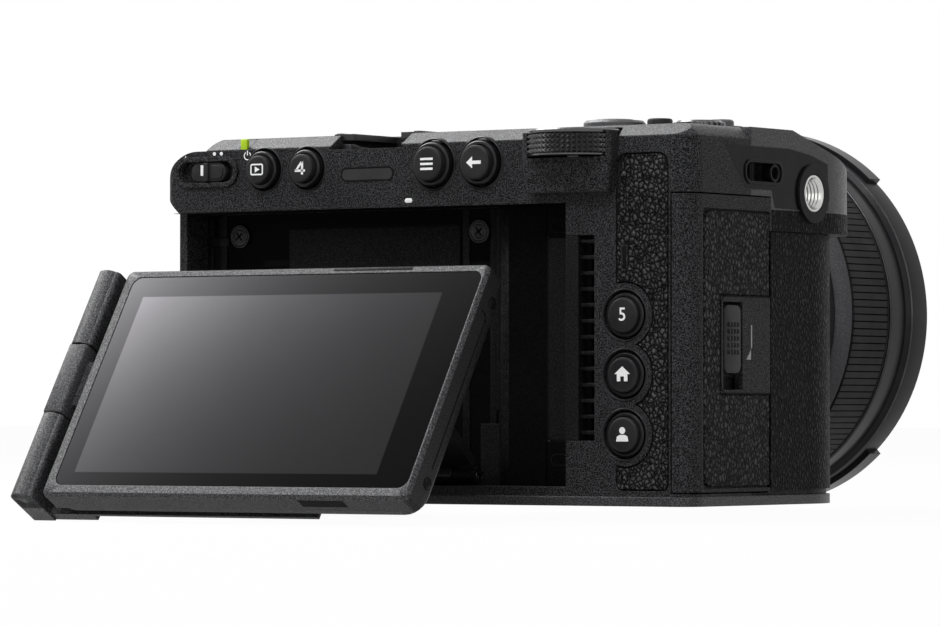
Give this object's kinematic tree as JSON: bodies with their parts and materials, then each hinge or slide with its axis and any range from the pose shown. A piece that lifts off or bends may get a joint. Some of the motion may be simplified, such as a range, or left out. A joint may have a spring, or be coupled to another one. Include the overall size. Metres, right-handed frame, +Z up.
{
  "type": "cinema camera",
  "caption": "Compact box-bodied cinema camera with a zoom lens, leather grip and a tilt-and-swing rear screen on a hinged arm",
  "frame": {"origin": "mouth of the tripod socket in the base, under the lens axis", "axes": "+X to the viewer's right behind the camera, +Y along the lens axis, +Z up"},
  "size_m": [0.1366, 0.222, 0.0897],
  "materials": {
    "casing": "fine matte black",
    "top_cover": "fine matte black",
    "grip_shell": "moulded black",
    "leather": "pebbled black",
    "trim": "satin black",
    "steel": "brushed",
    "hinge": "satin black",
    "button": "moulded black with pale marks",
    "slider": "moulded black",
    "dial": "black with ridges",
    "record": "red",
    "lamp": "pale lamp",
    "indicator": "smoked lamp window",
    "lens_metal": "black anodised",
    "zoom_ring": "ribbed rubber",
    "focus_ring": "ribbed rubber",
    "lens_glass": "coated glass",
    "screen_shell": "satin black",
    "screen_glass": "smoked glass",
    "panel": "dark display",
    "board": "green board",
    "sensor": "sensor",
    "frame": "milled",
    "fan": "black",
    "battery": "grey case",
    "card": "card",
    "ports": "black block"
  },
  "bodies": {
    "camera_body": {"rear_casing": "casing", "front_casing": "casing", "base_plate": "casing", "top_cover": "top_cover", "grip_shell": "grip_shell", "grip_leather": "leather", "rear_leather": "leather", "shoulder_trim": "trim", "vent_cover": "trim", "accessory_shoe": "steel", "mount_ring": "steel", "tripod_socket": "steel", "side_socket": "steel", "strap_pin": "steel", "lower_pin": "steel", "case_screws": "steel", "hinge_base": "hinge", "status_lamp": "lamp", "indicator_bar": "indicator", "lens_barrel": "lens_metal", "front_ring": "lens_metal", "front_element": "lens_glass", "rear_element": "lens_glass", "main_board": "board", "image_sensor": "sensor", "sensor_frame": "frame", "fan_housing": "fan", "battery": "battery", "memory_card": "card", "port_block": "ports"},
    "playback_button": {"playback_button": "button"},
    "four_button": {"four_button": "button"},
    "menu_button": {"menu_button": "button"},
    "back_button": {"back_button": "button"},
    "five_button": {"five_button": "button"},
    "home_button": {"home_button": "button"},
    "user_button": {"user_button": "button"},
    "power_slider": {"power_slider": "slider"},
    "rear_dial": {"rear_dial": "dial"},
    "control_disc": {"control_disc": "dial"},
    "small_button": {"small_button": "button"},
    "top_dial": {"top_dial": "dial"},
    "record_button": {"record_button": "record"},
    "zoom_lever": {"zoom_lever": "dial"},
    "lens_release": {"lens_release": "button"},
    "side_door": {"side_door": "casing", "door_leather": "leather"},
    "door_latch": {"door_latch": "trim"},
    "battery_door": {"battery_door": "casing"},
    "port_cover": {"port_cover": "casing"},
    "fan_rotor": {"fan_rotor": "fan"},
    "tilt_arm": {"tilt_arm": "hinge"},
    "screen_cradle": {"screen_cradle": "hinge", "upper_pin": "steel"},
    "screen": {"screen_shell": "screen_shell", "screen_glass": "screen_glass", "lcd_panel": "panel", "hinge_block": "hinge"},
    "zoom_ring": {"zoom_ring": "zoom_ring"},
    "focus_ring": {"focus_ring": "focus_ring"}
  },
  "joints": [
    {"name": "playback_button_push", "type": "slide", "parent": "camera_body", "child": "playback_button", "axis": [0, 1, 0], "range_m": [0, 0.0008], "stiffness_N_per_m": 300, "springref_m": -0.001},
    {"name": "four_button_push", "type": "slide", "parent": "camera_body", "child": "four_button", "axis": [0, 1, 0], "range_m": [0, 0.0008], "stiffness_N_per_m": 300, "springref_m": -0.001},
    {"name": "menu_button_push", "type": "slide", "parent": "camera_body", "child": "menu_button", "axis": [0, 1, 0], "range_m": [0, 0.0008], "stiffness_N_per_m": 300, "springref_m": -0.001},
    {"name": "back_button_push", "type": "slide", "parent": "camera_body", "child": "back_button", "axis": [0, 1, 0], "range_m": [0, 0.0008], "stiffness_N_per_m": 300, "springref_m": -0.001},
    {"name": "five_button_push", "type": "slide", "parent": "camera_body", "child": "five_button", "axis": [0, 1, 0], "range_m": [0, 0.0008], "stiffness_N_per_m": 300, "springref_m": -0.001},
    {"name": "home_button_push", "type": "slide", "parent": "camera_body", "child": "home_button", "axis": [0, 1, 0], "range_m": [0, 0.0008], "stiffness_N_per_m": 300, "springref_m": -0.001},
    {"name": "user_button_push", "type": "slide", "parent": "camera_body", "child": "user_button", "axis": [0, 1, 0], "range_m": [0, 0.0008], "stiffness_N_per_m": 300, "springref_m": -0.001},
    {"name": "power_slide", "type": "slide", "parent": "camera_body", "child": "power_slider", "axis": [1, 0, 0], "range_m": [-0.0025, 0.0016]},
    {"name": "rear_dial_turn", "type": "hinge", "parent": "camera_body", "child": "rear_dial", "pos_m": [0.0511, -0.0331, 0.075], "axis": [0, 0, 1], "continuous": true},
    {"name": "control_disc_turn", "type": "hinge", "parent": "camera_body", "child": "control_disc", "pos_m": [0.0465, -0.011, 0.08], "axis": [0, 0, 1], "continuous": true},
    {"name": "top_dial_turn", "type": "hinge", "parent": "camera_body", "child": "top_dial", "pos_m": [0.0595, 0.002, 0.08], "axis": [0, 0, 1], "continuous": true},
    {"name": "small_button_push", "type": "slide", "parent": "camera_body", "child": "small_button", "axis": [0, 0, -1], "range_m": [0, 0.0006], "stiffness_N_per_m": 300, "springref_m": -0.001},
    {"name": "record_push", "type": "slide", "parent": "camera_body", "child": "record_button", "axis": [0, 0, -1], "range_m": [0, 0.0006], "stiffness_N_per_m": 300, "springref_m": -0.001},
    {"name": "zoom_lever_turn", "type": "hinge", "parent": "camera_body", "child": "zoom_lever", "pos_m": [0.0575, 0.014, 0.08], "axis": [0, 0, 1], "range_deg": [-25, 25], "stiffness_Nm_per_rad": 0.02},
    {"name": "lens_release_push", "type": "slide", "parent": "camera_body", "child": "lens_release", "axis": [0, -1, 0], "range_m": [0, 0.0015], "stiffness_N_per_m": 500, "springref_m": -0.001},
    {"name": "side_door_swing", "type": "hinge", "parent": "camera_body", "child": "side_door", "pos_m": [0.0788, -0.0015, 0.033], "axis": [0, 0, 1], "range_deg": [0, 95]},
    {"name": "latch_slide", "type": "slide", "parent": "side_door", "child": "door_latch", "axis": [0, 0, -1], "range_m": [0, 0.0028], "stiffness_N_per_m": 100, "springref_m": -0.002},
    {"name": "battery_door_swing", "type": "hinge", "parent": "camera_body", "child": "battery_door", "pos_m": [0.0464, 0.0124, 0.0003], "axis": [0, 1, 0], "range_deg": [0, 95]},
    {"name": "port_cover_swing", "type": "hinge", "parent": "camera_body", "child": "port_cover", "pos_m": [-0.0568, 0.0185, 0.04], "axis": [0, 0, -1], "range_deg": [0, 110]},
    {"name": "fan_spin", "type": "hinge", "parent": "camera_body", "child": "fan_rotor", "pos_m": [0.014, -0.01, 0.044], "axis": [0, 1, 0], "continuous": true},
    {"name": "arm_swing", "type": "hinge", "parent": "camera_body", "child": "tilt_arm", "pos_m": [-0.0085, -0.022, 0.006], "axis": [1, 0, 0], "range_deg": [-49.4, 0]},
    {"name": "cradle_tilt", "type": "hinge", "parent": "tilt_arm", "child": "screen_cradle", "pos_m": [-0.0085, -0.05624, 0.03535], "axis": [1, 0, 0], "range_deg": [0, 82]},
    {"name": "screen_swing", "type": "hinge", "parent": "screen_cradle", "child": "screen", "pos_m": [-0.0516, -0.0727, 0.02454], "axis": [0, -0.5314, -0.8471], "range_deg": [0, 176]},
    {"name": "zoom_turn", "type": "hinge", "parent": "camera_body", "child": "zoom_ring", "pos_m": [0, 0.1, 0.042], "axis": [0, 1, 0], "range_deg": [0, 70]},
    {"name": "focus_turn", "type": "hinge", "parent": "camera_body", "child": "focus_ring", "pos_m": [0, 0.063, 0.042], "axis": [0, 1, 0], "continuous": true}
  ],
  "couplings": [
    {"joint": "cradle_tilt", "follows": "arm_swing", "ratio": -1.6498}
  ]
}
